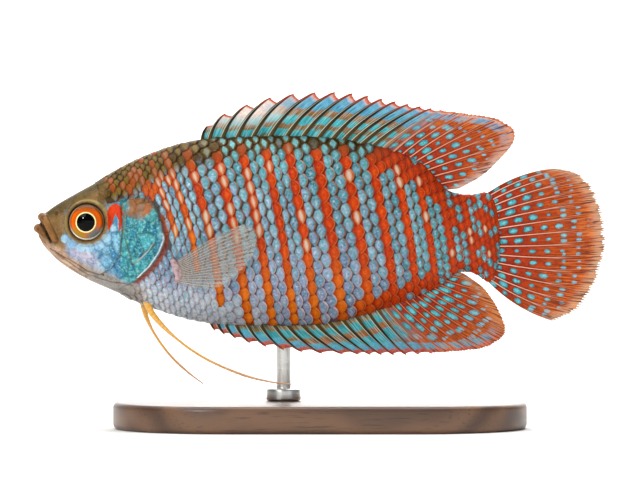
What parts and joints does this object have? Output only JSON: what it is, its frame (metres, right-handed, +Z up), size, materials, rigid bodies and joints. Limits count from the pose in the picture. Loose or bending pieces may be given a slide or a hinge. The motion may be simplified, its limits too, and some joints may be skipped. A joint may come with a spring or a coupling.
{
  "type": "dwarf gourami",
  "caption": "Life-size adult male dwarf gourami, a deep-bodied freshwater fish with banded scales and thread-like pelvic fins, held level on a plain display stand.",
  "frame": {"origin": "centre of the underside of the whole model's bounding box, on the surface it stands on", "axes": "+X from the snout towards the tail, +Z up, so that +Y is the fish's right side and -Y the left side that the picture shows"},
  "size_m": [0.0858, 0.034, 0.0505],
  "materials": {
    "olive_head": "wet scaled skin, olive brown",
    "lip": "wet skin, brown",
    "chin": "wet skin, pinkish beige",
    "gill_plate": "wet metallic scaled skin, turquoise blue",
    "iris": "clear cornea over an orange iris and black pupil",
    "flank": "iridescent blue scales with orange-red bars",
    "tail_root": "scaled skin, orange-red and blue",
    "red_fin": "thin fin membrane, orange-red with turquoise spots",
    "clear_fin": "thin clear fin membrane",
    "thread": "soft thread-like fin, gold",
    "steel": "brushed stainless steel",
    "wood": "satin-varnished wood"
  },
  "bodies": {
    "root": {"head": "olive_head", "upper_jaw": "lip", "lower_jaw": "chin", "eye_left": "iris", "eye_right": "iris", "gill_cover_left": "gill_plate", "gill_cover_right": "gill_plate", "trunk": "flank", "tail_root": "tail_root", "dorsal_fin": "red_fin", "anal_fin": "red_fin", "caudal_fin": "red_fin", "pectoral_fin_left": "clear_fin", "pectoral_fin_right": "clear_fin", "pelvic_fin_left": "thread", "pelvic_fin_right": "thread", "stand_base": "wood", "stand_collar": "steel", "stand_rod": "steel"}
  },
  "joints": []
}
